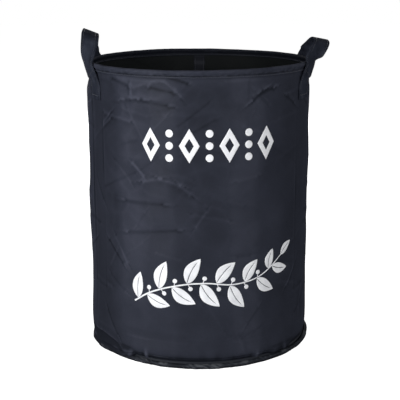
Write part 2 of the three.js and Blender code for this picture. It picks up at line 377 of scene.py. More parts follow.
def addPiece(name, points, faces, materials, flatMap=None, wearAndPaintedLight=None, faceFinish=None):
    mesh = bpy.data.meshes.new(name)
    mesh.from_pydata(np.asarray(points) * mm, [], faces)
    mesh.polygons.foreach_set("use_smooth", np.ones(len(mesh.polygons), bool))
    if flatMap is not None:  # the cloth's own flat sizes, in metres, one pair for each corner
        layer = mesh.uv_layers.new(name="flatCloth")
        layer.uv.foreach_set("vector", (np.asarray(flatMap, np.float32) * mm).ravel())
    if faceFinish is not None:
        mesh.polygons.foreach_set("material_index", np.asarray(faceFinish, np.int32))
    # Painted highlight and painted shade at each point, with some wear.
    if wearAndPaintedLight is not None:
        layer = mesh.attributes.new("wearAndPaintedLight", "FLOAT", "POINT")
        layer.data.foreach_set("value", np.asarray(wearAndPaintedLight, np.float32).ravel())
    for material in materials:
        mesh.materials.append(material)
    mesh.update()
    piece = bpy.data.objects.new(name, mesh)
    bpy.context.collection.objects.link(piece)
    return piece


def ringTurns(columns):
    return 2 * np.pi * np.arange(columns) / columns


def aroundHamper(radius, azimuth, height):
    # Azimuth runs from the front towards +X.
    return np.stack([radius * np.sin(azimuth), -radius * np.cos(azimuth), height + 0 * azimuth], -1)


def ringFaces(rows, columns):
    # Quads of a grid whose rows and columns both close on themselves. The last row closes it.
    i, j = np.meshgrid(np.arange(rows), np.arange(columns), indexing="ij")
    below, above = i * columns, (i + 1) % rows * columns
    after = (j + 1) % columns
    return np.stack([below + j, below + after, above + after, above + j], -1).reshape(-1, 4)


def flatCorners(acrossAt, alongAt):
    # Where the four corners of each quad lie on the flat cloth, row by row.
    i, j = np.meshgrid(np.arange(len(alongAt) - 1), np.arange(len(acrossAt) - 1), indexing="ij")
    corners = [(i, j), (i, j + 1), (i + 1, j + 1), (i + 1, j)]
    return np.stack([np.stack([acrossAt[b], alongAt[a]], -1) for a, b in corners], 2).reshape(-1, 4, 2)


def addRing(name, radius, height, materials, wearAndPaintedLight, faceFinish=None):
    # A closed band round the hamper. Row by row, its outline goes up outside and down inside.
    rows, columns = radius.shape
    points = aroundHamper(radius, ringTurns(columns)[None, :], height).reshape(-1, 3)
    outline = np.stack([radius.mean(1), height.mean(1)])
    step = np.hypot(*np.diff(outline, append=outline[:, :1]))
    along = np.concatenate([[0], np.cumsum(step)])
    girth = 2 * np.pi * radius.mean() * np.arange(columns + 1) / columns
    flatMap = flatCorners(girth, along)
    fill = None if faceFinish is None else np.repeat(faceFinish, columns)
    return addPiece(name, points, ringFaces(rows, columns), materials, flatMap, wearAndPaintedLight, fill)


def addStrip(name, points, material, acrossAt, alongAt, caps, wearAndPaintedLight, reverse):
    # A strip of doubled cloth. Each row of points goes once round it, and the caps close its ends.
    rows, columns = points.shape[:2]
    quads, spots = ringFaces(rows, columns)[:-columns], flatCorners(acrossAt, alongAt)
    if reverse:
        quads, spots = quads[:, ::-1], spots[:, ::-1]
    faces, flatMap = quads.tolist(), spots.reshape(-1, 2).tolist()
    for i, forward in ((0, reverse), (rows - 1, not reverse)):
        for cap in caps:
            faces.append([i * columns + k for k in (cap if forward else cap[::-1])])
            flatMap.extend([(acrossAt[cap[0]], alongAt[i])] * len(cap))
    return addPiece(name, points.reshape(-1, 3), faces, [material], flatMap, wearAndPaintedLight)


def capQuads(count, last):
    # Quads across the end of a strip, from one face to the other.
    return [(j, j + 1, last - 1 - j, last - j) for j in range(count)]


def softStep(value, low, high):
    share = np.clip((value - low) / (high - low), 0, 1)
    return share * share * (3 - 2 * share)


def near(value, middle, half, fade):
    # 1 within the half width of a middle, falling off over the fade.
    return np.exp(-((np.maximum(np.abs(value - middle) - half, 0) / fade) ** 2))


def atTurns(turn, places):
    # Adds up places round the hamper: middle, half width, fade and amount.
    return sum(amount * near(turn, middle, half, fade) for middle, half, fade, amount in places)


def dieAway(distance, reach):
    return np.exp(-np.maximum(distance, 0) / reach)


def easedAbove(value, ease):
    # The value where it is over 0, and 0 where it is under, with an eased turn between.
    return ease * np.logaddexp(0, value / ease)


def patchy(waves):
    return 0.5 + 0.5 * np.clip(waves, -1, 1)


def softWaves(azimuth, height, seed, shortest, longest, count, lean=1.0):
    # Random waves over the wall, about 1 high, that meet where the turn closes.
    # A lean over 1 lays the folds level, and one under 1 stands them up.
    random = np.random.default_rng(seed)
    total = np.zeros(np.broadcast(azimuth, height).shape)
    for _ in range(count):
        length = shortest * (longest / shortest) ** random.random()
        angle = 2 * np.pi * random.random()
        turns = round(2 * np.pi * wall["radius"] / length * math.cos(angle) / lean)
        rise = 2 * np.pi / length * math.sin(angle)
        total += np.cos(turns * azimuth + rise * height + 2 * np.pi * random.random())
    return total * math.sqrt(2 / count)


def signedDegrees(azimuth):
    return (np.degrees(azimuth) + 180) % 360 - 180


def ridgeLightCreaseShadeOf(shape, reach=2):
    # Ridges of a grid of heights come out above 0 and creases below, at most 1: the finish paints the
    # ridges lighter, as wear and painted highlight, and the creases darker, as painted shade.
    around = sum(np.roll(shape, step, 1) for step in (-reach, reach))
    padded = np.pad(shape, ((reach, reach), (0, 0)), mode="edge")
    around = around + padded[: -2 * reach] + padded[2 * reach :]
    return np.clip((shape - around / 4) / 0.28, -1, 1)


# Wall

wall = {
    "radius": 198.0,
    "thickness": 0.8,
    "bottom": 7.7,
    "top": 511.3,
    "foldTop": 452.0,  # the canvas above this moves with the rim, and that below folds up
    "foldGap": 0.03,
    "travel": 435.0,  # how far the rim comes down
    "columns": 576,
    "hemRows": [(7.7, 17, 0.62), (17, 45, 1.4)],  # close rows: from, to and step
    "rowStep": 2.4,
    "belly": (6.4, 1.4),  # how far the canvas stands out between the feet, left and right
    "footTurn": 66.2,  # the middle of a handle's sewn foot, each side of the front
    "footHalf": 7.8,
    "slack": 0.9,
    "folds": 0.3,
    "flats": [(-31, 17.5, 2.6), (9, 21.5, 2.6)],  # flatter stretches: turn, half width and depth
    # Upright stretches of painted highlight and painted shade: turn, half width, fade and amount
    "paintedLightStretches": [
        (-57, 9.5, 4, -0.42),
        (-35.5, 4, 5, 0.36),
        (1, 11, 5, -0.28),
        (23, 4, 4.5, 0.36),
        (58, 8, 5, -0.25),
    ],
    "facetSize": 34,
    "facetDepth": 0.9,
    "creaseCount": 150,
    "creaseLength": (22, 90),
    "creaseRise": (0.2, 0.62),
    "seamHalf": 7.0,  # the lapped seam up the back
    "seamRise": 0.7,
    "seamStitchIn": 2.2,  # from the lap's edges
    "seamStitched": (14, 503),  # from and to
    "gather": 0.28,  # above the base seam
    "pucker": 0.1,  # below the rim's stitches
    "slump": 2.9,  # how far it hangs out over the base piping
    "hollow": 3.0,  # between the places where the base seam gathers it
    "hemPull": 1.3,
    "hang": 7.0,  # how far its slack parts stand out in front of the piping
    "droops": [(-62, 19, 6, 6.6), (47, 5, 7, 2.2)],  # turn, half width, fade and how low
    # The fold down to the hem at the lower left: turns and heights of its line, and where it is
    "hemFold": ([-76, -71, -62, -56, -52, -48, -43, -39], [25, 27.5, 31, 29.5, 27, 23, 17, 10]),
    "hemFoldAt": (-55.5, 13.5, 3.5),
    # Creases of the front: turn and height of both ends, how far each stands out, and how
    # far it spreads on its upper or left side and on its lower or right side
    "creases": [
        (-35.7, 470, -35.7, 490, 0.9, 4, 7),
        (-34, 488, -25, 496, 0.88, 12, 6),
        (-25, 496, -17.5, 506, 0.88, 12, 6),
        (-48, 498, -37.5, 488, -0.85, 6, 9),
        (-39, 463, -29.6, 465.5, -1.1, 6.5, 17),
        (-29.6, 465.5, -16, 459, -1.1, 6.5, 17),
        (-19, 504, -11.6, 486, 0.78, 8, 4),
        (-11.6, 486, -9.2, 476, 0.78, 8, 4),
        (-15, 507, -6, 497, -1.01, 5, 8),
        (-24, 488, -13, 481, -0.95, 5, 9),
        (27.5, 467, 32.4, 478.5, -1.23, 5, 14),
        (32.4, 478.5, 38, 483, -1.23, 5, 14),
        (-29, 329, -19.6, 336, 0.9, 14, 6),
        (-19.6, 336, -9.6, 326, 0.9, 14, 6),
        (-9.6, 326, -4.8, 312, 0.78, 12, 6),
        (-41, 289, -19, 291, -0.9, 6, 16),
        (-38, 235, -12, 247, -0.78, 6, 16),
        (-36, 357, -29, 338, 0.78, 4, 7),
        (-2, 255, 3, 280, 0.56, 5, 9),
        (-54, 209, -44, 176, -0.78, 6, 12),
        (-48, 218, -40.5, 179, 0.67, 6, 12),
    ],
}


def creaseRise(azimuth, height, crease):
    fromTurn, fromHeight, toTurn, toHeight, rise, upper, lower = crease
    radius = wall["radius"]
    run = np.array([math.radians(toTurn - fromTurn) * radius, toHeight - fromHeight])
    length = np.hypot(*run)
    run = run / length
    arc = ((azimuth - math.radians(fromTurn) + np.pi) % (2 * np.pi) - np.pi) * radius
    rest = height - fromHeight
    across = run[0] * rest - run[1] * arc
    along = run[0] * arc + run[1] * rest
    past = np.maximum(np.maximum(-along, along - length), 0)
    away = np.hypot(across, past * 1.3) / np.where(across > 0, upper, lower)
    return rise * np.exp(-(away**1.25))


def smallCreases():
    # Short straight creases all round, more of them high up. On the front they are fainter.
    random = np.random.default_rng(23)
    creases = []
    for _ in range(wall["creaseCount"]):
        turn, high = random.uniform(-180, 180), 500 - 470 * random.random() ** 1.25
        lean = math.radians(random.normal(0, 36))
        length = random.uniform(*wall["creaseLength"])
        rise = random.uniform(*wall["creaseRise"]) * (1 if random.random() < 0.5 else -1)
        sharp, soft = random.uniform(2.5, 5), random.uniform(7, 18)
        if abs(turn) < 45:
            rise, length, sharp = 0.5 * rise, 0.8 * length, 1.35 * sharp
        if random.random() < 0.5:
            sharp, soft = soft, sharp
        turnStep = math.degrees(length * math.cos(lean) / wall["radius"])
        creases.append((turn, high, turn + turnStep, high + length * math.sin(lean), rise, sharp, soft))
    return creases


def crumpledFacets():
    # Flat facets between straight soft creases, as in cloth that has been folded small.
    radius, size = wall["radius"], wall["facetSize"]
    random = np.random.default_rng(47)
    girth, reach = 2 * np.pi * radius, 3.0 * size
    count = round(girth * wall["top"] / size**2)
    arcs, ups = random.uniform(0, girth, count), random.uniform(0, 520, count)
    nearest = np.full(wallShape.shape, reach)
    for arc, up in zip(arcs, ups):
        rows = np.flatnonzero(np.abs(rowHeights - up) < reach)
        across = (columnTurns * radius - arc + girth / 2) % girth - girth / 2
        columns = np.flatnonzero(np.abs(across) < reach)
        if len(rows) and len(columns):
            spot = np.ix_(rows, columns)
            away = np.sqrt(across[columns][None, :] ** 2 + (rowHeights[rows] - up)[:, None] ** 2 + 30)
            nearest[spot] = np.minimum(nearest[spot], away)
    soft = nearest + np.roll(nearest, 1, 1) + np.roll(nearest, -1, 1)
    soft = soft + np.roll(soft, 1, 0) + np.roll(soft, -1, 0)
    return (soft / 9 - 0.45 * size) / size


def facetShare(turn, height):
    # The facets are strongest at the upper left and die out under the feet and the rim.
    busy = 0.45 + 0.55 * near(turn, -30, 14, 26) * softStep(height, 150, 300)
    busy = busy * (1 - 0.85 * atFeet(turn, 8, 6)) * (1 - softStep(height, 480, 500))
    return busy * softStep(height, 9, 30)


def betweenFeet(turn):
    side = np.abs(turn)
    return softStep(side, 72.5, 82.5) * (1 - softStep(side, 97.5, 107.5))


def atFeet(turn, half, fade):
    # 1 where the handles' feet are sewn on, falling off over the fade.
    foot = wall["footTurn"]
    return sum(near(np.abs(turn), middle, half, fade) for middle in (foot, 180 - foot))


def wander(height):
    # Upright stretches of the cloth run a little crooked, in degrees.
    return 1.6 * softWaves(0, height, 3, 130, 330, 12)


def hemDroop(azimuth):
    # How low the slack canvas hangs in front of the base piping.
    turn = np.degrees(azimuth)
    behind = np.clip(softWaves(azimuth, 0, 45, 40, 160, 14), 0, 1) * (np.abs(turn) > 95)
    return atTurns(turn, wall["droops"]) + 1.6 * behind


def hemHollow(azimuth):
    # 1 in the middle of the hollows between the places where the base seam gathers the canvas.
    return np.minimum(np.abs(softWaves(azimuth, 0, 47, 45, 150, 14)) * 1.5, 1)


def hemTuck(azimuth, height):
    # How far below the line of the hem's fold, and how much of the fold there is at this turn.
    turn = np.degrees(azimuth)
    return np.interp(turn, *wall["hemFold"]) - height, near(turn, *wall["hemFoldAt"])


def freeCloth(azimuth, height):
    # Bulges between the feet, flatter stretches of the front, and slow folds all round.
    turn = np.degrees(azimuth)
    low = 1 + 0.18 * near(height, 70, 0, 45)
    middle = softStep(height, 6, 19) * (1 - softStep(height, 462, 500)) * low
    swell = np.where(turn < 0, *wall["belly"]) * betweenFeet(turn) * middle
    free = softStep(height, 9, 60) * (1 - softStep(height, 455, 506))
    for centre, half, depth in wall["flats"]:
        bow = 1 - ((turn + wander(height) - centre) / half) ** 2
        swell = swell - depth * easedAbove(bow, 0.14) * free
    loose = free * (1 - 0.8 * atFeet(turn, 4, 11))
    swell = swell + wall["slack"] * loose * softWaves(azimuth, height, 5, 110, 260, 24, 0.8)
    return swell + wall["folds"] * loose * softWaves(azimuth, height, 11, 45, 110, 40, 1.3)


def gathers(azimuth, height):
    patches = patchy(softWaves(azimuth, 0.3 * height, 33, 70, 240, 12))
    gather = wall["gather"] * softWaves(azimuth, 0.25 * height, 31, 14, 50, 30)
    pucker = wall["pucker"] * softWaves(azimuth, 0, 37, 8, 24, 30)
    return patches * (gather * dieAway(height - 9, 14) + pucker * dieAway(504 - height, 7))


def atHem(azimuth, height, swell):
    # It bags out over the base seam, tucks under at the lower left and hangs down where it is slack.
    turn = np.degrees(azimuth)
    drooped = softStep(hemDroop(azimuth), 1, 4)
    slump = wall["slump"] + 0.6 * softWaves(azimuth, 0.5 * height, 39, 60, 200, 14)
    slump = slump + 2.2 * near(turn, -66, 8, 8)
    over = softStep(height, 8, 17) * near(height, 0, 22, 45) * (1 - 0.8 * betweenFeet(turn))
    swell = swell + slump * over
    swell = swell - wall["hollow"] * hemHollow(azimuth) * near(height, 8, 0, 11) * (1 - drooped)
    below, tucked = hemTuck(azimuth, height)
    lip = 0.5 * near(below, -2, 0, 5) - 1.7 * softStep(below, -0.5, 2) * (1 - softStep(below, 5, 18))
    swell = swell + lip * tucked - wall["hemPull"] * dieAway(height - wall["bottom"], 5)
    hanging = wall["hang"] + 2.2 * near(turn, -70, 5, 5) - 2.4 * softStep(-turn, 76, 84)
    hanging = hanging + 0.4 * softWaves(azimuth, 0, 49, 30, 120, 14)
    flare = softStep(height, 7.8, 9.5) * (1 - softStep(height, 13, 24)) * drooped
    return swell + (hanging - swell) * flare


def heldIn(azimuth, height, swell):
    # It lies flat under the feet and inside the rim's casing, and stiffly along the back seam.
    turn = np.degrees(azimuth)
    held = 1 - softStep(height, 499, 505)
    feet = atFeet(turn, wall["footHalf"], 3.5) * softStep(height, 85, 120)
    most = 10 - 9.2 * softStep(height, 452, 478) * (1 - 0.7 * betweenFeet(turn) * (turn < 0))
    most = (most + (0.15 - most) * feet) * held
    swell = most - easedAbove(most - swell, 0.35)
    seamArc = np.radians(180 - np.abs(turn)) * wall["radius"]
    seam = 1 - softStep(seamArc, wall["seamHalf"] - 0.6, wall["seamHalf"] + 0.6)
    beside = near(seamArc, 0, 0, 22)
    ripple = 0.25 * softWaves(0, height, 41, 9, 30, 24)
    swell = swell * (1 - 0.85 * beside) + beside * (1 - seam) * ripple * held
    return swell + seam * wall["seamRise"] * held


def wallSwell(azimuth, height):
    # How far the canvas stands out from its plain tube. Azimuth is from -pi to pi.
    swell = freeCloth(azimuth, height)
    for crease in wall["creases"] + smallCreases():
        swell = swell + creaseRise(azimuth, height, crease)
    swell = swell + gathers(azimuth, height)
    return heldIn(azimuth, height, atHem(azimuth, height, swell))


# The mesh's columns and rows. Each part of the wall has an even number of steps up it.
wallColumns = wall["columns"]
columnTurns = ringTurns(wallColumns)
signedTurns = (columnTurns + np.pi) % (2 * np.pi) - np.pi
hemHeights = np.concatenate([np.arange(*rows) for rows in wall["hemRows"]])
hemTop = wall["hemRows"][-1][1]
middleCount = round((wall["foldTop"] - hemTop) / wall["rowStep"] / 2) * 2 - len(hemHeights) % 2
headCount = round((wall["top"] - wall["foldTop"]) / wall["rowStep"] / 2) * 2
foldRow = len(hemHeights) + middleCount
rowHeights = np.concatenate([
    hemHeights,
    np.linspace(hemTop, wall["foldTop"], middleCount + 1),
    np.linspace(wall["foldTop"], wall["top"], headCount + 1)[1:],
])
wallRows = len(rowHeights) - 1
wallAround, wallUp = signedTurns[None, :], rowHeights[:, None]
wallShape = wallSwell(wallAround, wallUp)
wallShape = wallShape + wall["facetDepth"] * crumpledFacets() * facetShare(np.degrees(wallAround), wallUp)


def wallRadiusAt(azimuth, height):
    # The canvas's outer face where the mesh has it, between its rows and columns.
    column = np.asarray(azimuth) / (2 * np.pi) * wallColumns
    row = np.interp(height, rowHeights, np.arange(wallRows + 1))
    firstRow = np.minimum(row.astype(int), wallRows - 1)
    firstColumn = np.floor(column).astype(int)
    r, c = row - firstRow, column - firstColumn
    here, after = firstColumn % wallColumns, (firstColumn + 1) % wallColumns
    low = wallShape[firstRow, here] * (1 - c) + wallShape[firstRow, after] * c
    high = wallShape[firstRow + 1, here] * (1 - c) + wallShape[firstRow + 1, after] * c
    return wall["radius"] + low * (1 - r) + high * r


def foldWithWall(piece):
    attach(piece, "base")
    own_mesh(piece)


def paintedLightBands(azimuth, height):
    # Broad upright stretches of painted highlight and painted shade.
    turn = np.degrees(azimuth) + wander(height)
    lowLeft = (1 - softStep(height, 40, 130)) * near(turn, -35, 6, 6)
    return atTurns(turn, wall["paintedLightStretches"]) * (1 - 0.6 * lowLeft)


def wallWearAndPaintedLight():
    # Painted light and wear: ridges lighter and creases darker, painted shade above the base seam and
    # below the hem's fold, and the painted light stretches.
    shown = ridgeLightCreaseShadeOf(wallShape) - (0.25 + 1.1 * hemHollow(wallAround)) * near(wallUp, 7, 0, 13)
    below, tucked = hemTuck(wallAround, wallUp)
    # Painted shade along the fold's line and under it.
    dark = 1.6 * near(below, 1.2, 0, 1.8) + 1.6 * softStep(below, 6, 13) + 0.2 * near(below, 4, 1, 3)
    return shown - dark * tucked + paintedLightBands(wallAround, wallUp)


def besideCut(values, atEnd):
    # One more row close beside the cut, so that the cloth shades alike on both sides of it.
    if not atEnd:
        return besideCut(values[::-1], True)[::-1]
    return np.concatenate([values[:-1], values[-1:] + 0.02 * (values[-2:-1] - values[-1:]), values[-1:]])


def buildWallPart(name, first, last):
    # The canvas from one row to another: every row outside, and every other one inside.
    rows = np.arange(first, last + 1)
    insideRows = rows[::-2]
    cutOnTop = first == 0

    def outAndIn(outside, inside):
        return np.concatenate([besideCut(outside, cutOnTop), besideCut(inside, not cutOnTop)])

    outer = wall["radius"] + wallShape
    radius = outAndIn(outer[rows], outer[insideRows] - wall["thickness"])
    droop = hemDroop(wallAround) * softStep(wallUp, 9.4, 11.2) * (1 - softStep(wallUp, 13, 26))
    hung = wallUp - droop
    if not cutOnTop:
        hung = np.maximum(hung, wall["foldTop"] + wall["foldGap"])
    height = outAndIn(hung[rows], hung[insideRows] + 0.4 * np.minimum(droop[insideRows], 1))
    # Painted light and shade with some wear; the inside gets it turned over.
    shown = wallWearAndPaintedLight()
    lined = np.arange(len(radius)) >= len(rows)
    wearAndPaintedLight = outAndIn(shown[rows], -shown[insideRows])
    piece = addRing(name, radius, height, [canvasCloth, liningCloth], wearAndPaintedLight, lined)
    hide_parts("wall_panel")
    return piece


def buildWall():
    head = buildWallPart("wallHead", foldRow, wallRows)
    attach(head, "rim")
    body = buildWallPart("wallCanvas", 0, foldRow)
    foldWithWall(body)


buildWall()
print("wall sewn")


# Rim casing

rim = {
    "columns": 720,
    # Radius and height of the outline, from the outer lip's edge up over the hoop to the inner lip
    "outline": [
        (199.15, 504.6), (199.45, 504.9), (199.5, 506.2), (199.4, 507.6), (199.0, 508.7), (199.15, 509.6),
        (200.1, 510.7), (200.95, 512.2), (201.4, 514.1), (201.15, 515.8), (200.2, 517.2), (198.9, 517.9),
        (197.6, 518.05), (196.3, 517.9), (195.0, 517.2), (194.05, 515.8), (193.8, 514.1), (194.25, 512.2),
        (195.1, 510.7), (196.0, 509.6), (196.15, 508.7), (195.8, 507.6), (195.7, 506.2), (195.75, 504.9),
        (196.05, 504.6),
    ],
    "thickness": 0.8,
    "lipThickness": 0.35,
    "pucker": 0.12,
    "wave": 0.35,
    "backLift": [(-138, 20, 14, 0.9)],  # turn, half width, fade and how high
    "stitchOuter": 199.62,
    "stitchInner": 195.6,
    "stitchHeight": 506.4,
    "stitchPitch": 3.6,
}


def profileNormals(outline):
    # Outward normals of an open outline that goes up outside, over and down inside.
    slope = np.gradient(outline, axis=0)
    normal = np.stack([slope[:, 1], -slope[:, 0]], -1)
    return normal / np.linalg.norm(normal, axis=1, keepdims=True)


def smoothOutline(outline, steps):
    # A round curve through the points of an open outline.
    points = np.array(outline, float)
    ends = np.concatenate([[2 * points[0] - points[1]], points, [2 * points[-1] - points[-2]]])
    out = []
    for a, b, c, d in zip(ends[:-3], ends[1:-2], ends[2:-1], ends[3:]):
        for t in np.arange(steps) / steps:
            bend = (2 * a - 5 * b + 4 * c - d) * t**2 + (3 * b - a - 3 * c + d) * t**3
            out.append(0.5 * (2 * b + (c - a) * t + bend))
    out.append(points[-1])
    return np.array(out)


def casingSwell(azimuth, share):
    # Small puckers of the rim's casing, strongest at its seam. The share runs along its outline.
    fine = softWaves(azimuth, 60 * share, 51, 8, 24, 40)
    slow = softWaves(azimuth, 30 * share, 53, 40, 120, 20)
    atSeam = near(share, 0.2, 0, 0.09) + near(share, 0.8, 0, 0.09)
    return rim["pucker"] * fine * (0.35 + atSeam) + 0.12 * slow


def rimLift(azimuth):
    lift = rim["wave"] * softWaves(azimuth, 0, 57, 150, 500, 14)
    return lift + atTurns(signedDegrees(azimuth), rim["backLift"])


def buildRim():
    outline = smoothOutline(rim["outline"], 2)
    normal = profileNormals(outline)
    share = np.linspace(0, 1, len(outline))
    azimuth = ringTurns(rim["columns"])
    bump = casingSwell(azimuth[None, :], share[:, None])
    bump = bump * np.minimum(1, 8 * np.minimum(share, 1 - share))[:, None]
    lift = rimLift(azimuth)[None, :] * softStep(outline[:, 1], 505, 512)[:, None]
    outerRadius = outline[:, :1] + bump * normal[:, :1]
    outerHeight = outline[:, 1:] + bump * normal[:, 1:] + lift
    inset = np.full(len(outline), rim["thickness"])
    inset[0] = inset[-1] = rim["lipThickness"]
    innerRadius = outerRadius - (inset * normal[:, 0])[:, None]
    innerHeight = outerHeight - (inset * normal[:, 1])[:, None]
    radius = np.concatenate([outerRadius, innerRadius[::-1]])
    height = np.concatenate([outerHeight, innerHeight[::-1]])
    # Painted highlight along the crest, painted shade under the roll and inside, and the puckers painted
    # lighter on their bumps and darker in their dips.
    crestHighlight, underRollShade = 0.45 * near(share, 0.45, 0, 0.1), 0.95 * near(share, 0.16, 0, 0.045)
    tone = crestHighlight - underRollShade - 1.2 * softStep(share, 0.52, 0.66)  # and painted shade inside
    wearAndPaintedLight = np.zeros_like(radius)
    wearAndPaintedLight[: len(outline)] = np.clip(bump * 1.6, -1, 1) + tone[:, None]
    piece = addRing("rimCasing", radius, height, [canvasCloth], wearAndPaintedLight)
    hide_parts("rim_binding")
    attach(piece, "rim")


buildRim()
print("rim sewn")


# Stitches

stitch = {
    "radius": 0.3,
    "reach": 1.25,
    "sides": 6,
    # Along, how thick, and how high: both ends dive into the cloth
    "rings": [
        (-1.0, 0.45, -0.5), (-0.72, 0.9, 0.05), (0.0, 1.0, 0.3), (0.72, 0.9, 0.05), (1.0, 0.45, -0.5),
    ],
}


def walkPath(path, normals, pitch, closed=False):
    # Evenly spaced places along a path: centre, direction and the cloth's normal.
    path, normals = np.asarray(path, float), np.asarray(normals, float)
    if closed:
        path, normals = np.vstack([path, path[:1]]), np.vstack([normals, normals[:1]])
    step = np.linalg.norm(np.diff(path, axis=0), axis=1)
    run = np.concatenate([[0], np.cumsum(step)])
    count = max(1, round(run[-1] / pitch))
    at = (np.arange(count) + 0.5) * run[-1] / count

    def pick(values, places):
        return np.stack([np.interp(places, run, values[:, k]) for k in range(3)], -1)

    ahead = pick(path, np.minimum(at + 0.5, run[-1])) - pick(path, np.maximum(at - 0.5, 0))
    return pick(path, at), ahead, pick(normals, at)


def addStitches(name, rows):
    # One mesh of short thread beads. Each row is centres, directions and normals.
    centre, ahead, normal = (np.concatenate([row[k] for row in rows]) for k in range(3))
    ahead = ahead / np.linalg.norm(ahead, axis=1, keepdims=True)
    normal = normal - (normal * ahead).sum(1, keepdims=True) * ahead
    normal = normal / np.linalg.norm(normal, axis=1, keepdims=True)
    side = np.cross(normal, ahead)
    sides, rings = stitch["sides"], stitch["rings"]
    points = [
        centre
        + ahead * along * stitch["reach"]
        + side * math.cos(a) * thick * stitch["radius"]
        + normal * (math.sin(a) * thick + high) * stitch["radius"]
        for along, thick, high in rings
        for a in ringTurns(sides)
    ]
    perStitch = len(points)
    offsets = perStitch * np.arange(len(centre))[:, None, None]
    quads = (ringFaces(len(rings), sides)[:-sides] + offsets).reshape(-1, 4)[:, ::-1]
    ends = np.array([np.arange(sides), perStitch - 1 - np.arange(sides)])
    caps = (ends + offsets).reshape(-1, sides)[:, ::-1]
    points = np.stack(points, 1).reshape(-1, 3)
    return addPiece(name, points, quads.tolist() + caps.tolist(), [darkThread])


def levelRow(radius, height, pitch, inside=False):
    azimuth = ringTurns(1440)
    outwards = aroundHamper(1, azimuth, 0)
    path = aroundHamper(radius, azimuth, height)
    return walkPath(path, -outwards if inside else outwards, pitch, closed=True)


def buildRimStitches():
    height, pitch = rim["stitchHeight"], rim["stitchPitch"]
    outer = levelRow(rim["stitchOuter"], height, pitch)
    inner = levelRow(rim["stitchInner"], height, pitch, inside=True)
    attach(addStitches("rimStitches", [outer, inner]), "rim")


def buildBackSeamStitches(name, low, high):
    rows = []
    heights = np.arange(low, high, 1.5)
    for side in (-1, 1):
        turn = np.pi + side * (wall["seamHalf"] - wall["seamStitchIn"]) / wall["radius"] + 0 * heights
        path = aroundHamper(wallRadiusAt(turn, heights) + 0.05, turn, heights)
        rows.append(walkPath(path, aroundHamper(1, turn, 0), rim["stitchPitch"]))
    return addStitches(name, rows)


buildRimStitches()
seamFrom, seamTo = wall["seamStitched"]
foldWithWall(buildBackSeamStitches("backSeamStitches", seamFrom, wall["foldTop"]))
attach(buildBackSeamStitches("backSeamHeadStitches", wall["foldTop"], seamTo), "rim")
print("rim and back stitched")


# Base

base = {
    "panelRadius": 195.8,
    "panelThickness": 0.8,
    "panelRipple": 0.55,
    "rings": 46,
    "columns": 180,
    "rollRadius": 200.25,
    "rollHeight": 3.9,
    "rollOuter": 4.2,
    "rollInner": 3.05,
    "pipingColumns": 864,
    "flangeOuter": 196.9,
    "flangeThickness": 0.8,
    "flangeTop": 11.0,
    # Places round the piping: turn, half width, fade and amount
    "sags": [(-68, 5, 8, 4.0)],
    "squeezed": [(-42, 10, 16, 1.3)],  # flatter from below
    # Painted highlight specks on top of the piping: turn, half width, fade and amount
    "highlighted": [(31, 17, 4, 1.0), (-22, 3.5, 2.5, 1.0), (0, 3.5, 3, 0.5), (85, 5, 5, 0.3)],
    "stitchRadius": 194.9,
    "stitchHeight": 8.6,
    "stitchPitch": 4.0,
    # The binding tape inside the base seam: radius, height, and how slack it is
    "tapeColumns": 720,
    "tapeOutline": [
        (185.9, 2.15, 0.4), (188.5, 2.2, 0.7), (191.5, 2.35, 1), (193.6, 2.9, 1), (194.6, 4.4, 0.8),
        (194.9, 6.8, 0.7), (195.0, 9.6, 0.8), (195.25, 11.0, 0.6), (195.6, 11.1, 0.2), (195.78, 10.4, 0),
        (195.78, 6.0, 0), (195.7, 2.6, 0), (195.2, 1.35, 0), (191.0, 1.3, 0), (186.3, 1.3, 0.2),
        (185.7, 1.65, 0.3),
    ],
}


def discSwell(radius, azimuth):
    # Slack ripples of the base canvas. It lies flat on the floor near its middle and its edge.
    x, y = radius * np.sin(azimuth), radius * np.cos(azimuth)
    random = np.random.default_rng(61)
    count = 26
    total = np.zeros(np.broadcast(x, y).shape)
    for _ in range(count):
        length = 45 * 4 ** random.random()
        angle = 2 * np.pi * random.random()
        across = x * math.cos(angle) + y * math.sin(angle)
        total += np.cos(2 * np.pi / length * across + 9 * random.random())
    total = total * math.sqrt(2 / count)
    return np.maximum(total, 0) * base["panelRipple"] * softStep(base["panelRadius"] - radius, 4, 30)


def buildBasePanel():
    # Rings of points from the middle out on top, and back below, with a fan at each middle.
    rings, columns = base["rings"], base["columns"]
    azimuth = ringTurns(columns)[None, :]
    radius = base["panelRadius"] * np.arange(1, rings + 1)[:, None] / rings
    rise = discSwell(radius, azimuth)
    lower = aroundHamper(radius + 0 * rise, azimuth, rise)
    upper = lower + [0, 0, base["panelThickness"]]
    middle = discSwell(np.zeros(1), np.zeros(1))[0]
    points = np.concatenate([upper.reshape(-1, 3), lower[::-1].reshape(-1, 3)])
    points = np.vstack([points, [0, 0, middle + base["panelThickness"]], [0, 0, middle]])
    top, bottom = len(points) - 2, len(points) - 1
    last = (2 * rings - 1) * columns
    faces = ringFaces(2 * rings, columns)[:-columns].tolist()
    for j in range(columns):
        after = (j + 1) % columns
        faces += [[top, j, after], [bottom, last + after, last + j]]
    flatMap = points[[v for face in faces for v in face], :2]
    lined = [max(face) < rings * columns or face[0] == top for face in faces]
    # Its ripples' crests painted lighter and troughs darker: painted light and shade.
    shown = ridgeLightCreaseShadeOf(rise, 1)
    wearAndPaintedLight = np.concatenate([shown.ravel(), -shown[::-1].ravel(), [0, 0]])
    piece = addPiece("baseCanvas", points, faces, [canvasCloth, liningCloth], flatMap, wearAndPaintedLight, lined)
    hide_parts("base_panel")
    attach(piece, "base")


